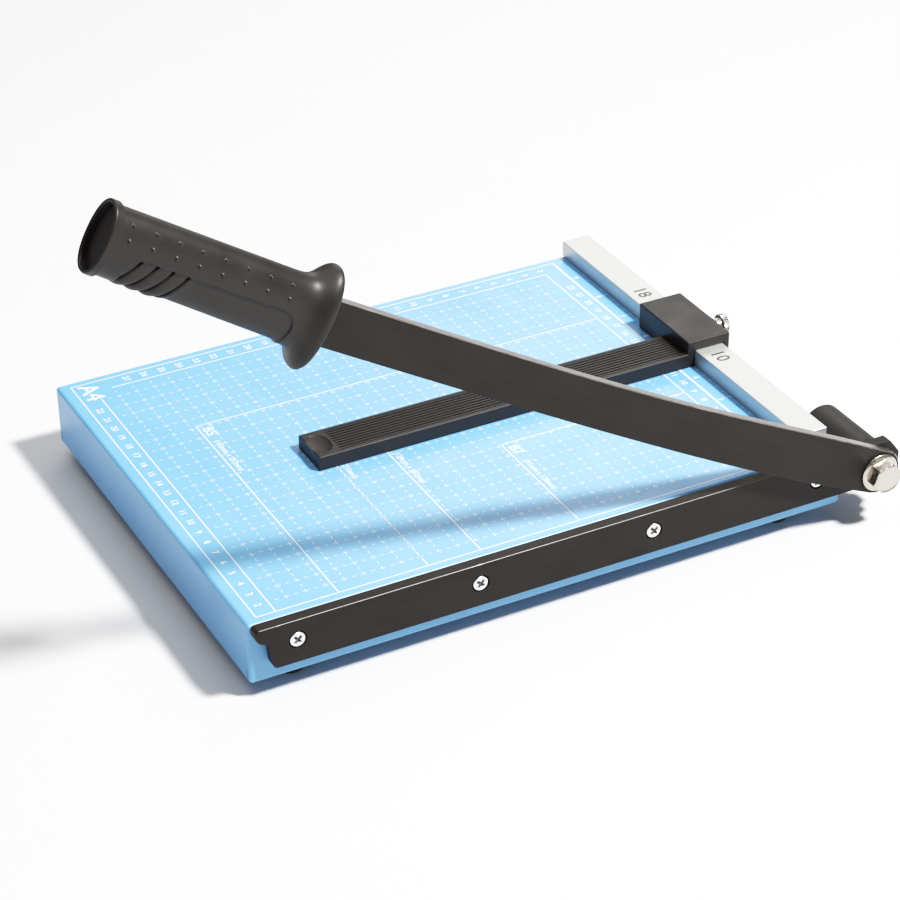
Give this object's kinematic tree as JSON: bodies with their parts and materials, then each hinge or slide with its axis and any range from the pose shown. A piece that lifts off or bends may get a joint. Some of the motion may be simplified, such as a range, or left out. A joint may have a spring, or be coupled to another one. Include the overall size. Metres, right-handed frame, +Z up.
{
  "type": "paper trimmer",
  "caption": "Lever-arm paper trimmer: flat gridded bed, fixed lower blade, swinging upper blade with a moulded grip, fence rail and sliding gauge.",
  "frame": {"origin": "middle of the object's bounding box, on the table surface", "axes": "+X across the bed towards the cutting side, +Y away from the operator along the blade, +Z up"},
  "size_m": [0.2732, 0.4258, 0.2759],
  "materials": {
    "blue_paint": "light blue powder coat with a white screen-printed grid",
    "black_steel": "satin black oxide and enamel on steel, with ground edges left bright",
    "bright_steel": "nickel and zinc plated steel fasteners",
    "aluminium": "satin anodised",
    "black_plastic": "black moulded plastic, satin with fine texture",
    "bronze": "sintered bronze",
    "rubber": "black moulded rubber"
  },
  "bodies": {
    "base": {"base_tray": "blue_paint", "lower_blade": "black_steel", "blade_screw_1": "bright_steel", "blade_screw_2": "bright_steel", "blade_screw_3": "bright_steel", "blade_screw_4": "bright_steel", "blade_nut_1": "bright_steel", "blade_nut_2": "bright_steel", "blade_nut_3": "bright_steel", "blade_nut_4": "bright_steel", "rail_screw_1": "bright_steel", "rail_screw_2": "bright_steel", "rail_screw_3": "bright_steel", "foot_screw_front_left": "bright_steel", "foot_screw_front_right": "bright_steel", "foot_screw_rear_left": "bright_steel", "foot_screw_rear_right": "bright_steel", "pivot_bolt": "bright_steel", "pivot_nut": "bright_steel", "pivot_spring": "bright_steel", "fence_rail": "aluminium", "spring_housing": "black_plastic", "foot_front_left": "rubber", "foot_front_right": "rubber", "foot_rear_left": "rubber", "foot_rear_right": "rubber"},
    "arm": {"swinging_arm": "black_steel", "arm_bush": "bronze", "grip": "black_plastic", "grip_plug": "black_plastic"},
    "gauge": {"gauge": "black_plastic", "thumb_collar": "black_steel"},
    "thumb": {"thumb_screw": "bright_steel"}
  },
  "joints": [
    {"name": "arm_pivot", "type": "hinge", "parent": "base", "child": "arm", "pos_m": [0.1222, 0.19642, 0.0296], "axis": [1, 0, 0], "range_deg": [-30, 28]},
    {"name": "gauge_slide", "type": "slide", "parent": "base", "child": "gauge", "axis": [1, 0, 0], "range_m": [-0.092, 0.084]},
    {"name": "thumb_screw_turn", "type": "hinge", "parent": "gauge", "child": "thumb", "pos_m": [-0.0149, 0.18142, 0.0483], "axis": [0, 1, 0], "range_deg": [0, 540]}
  ]
}
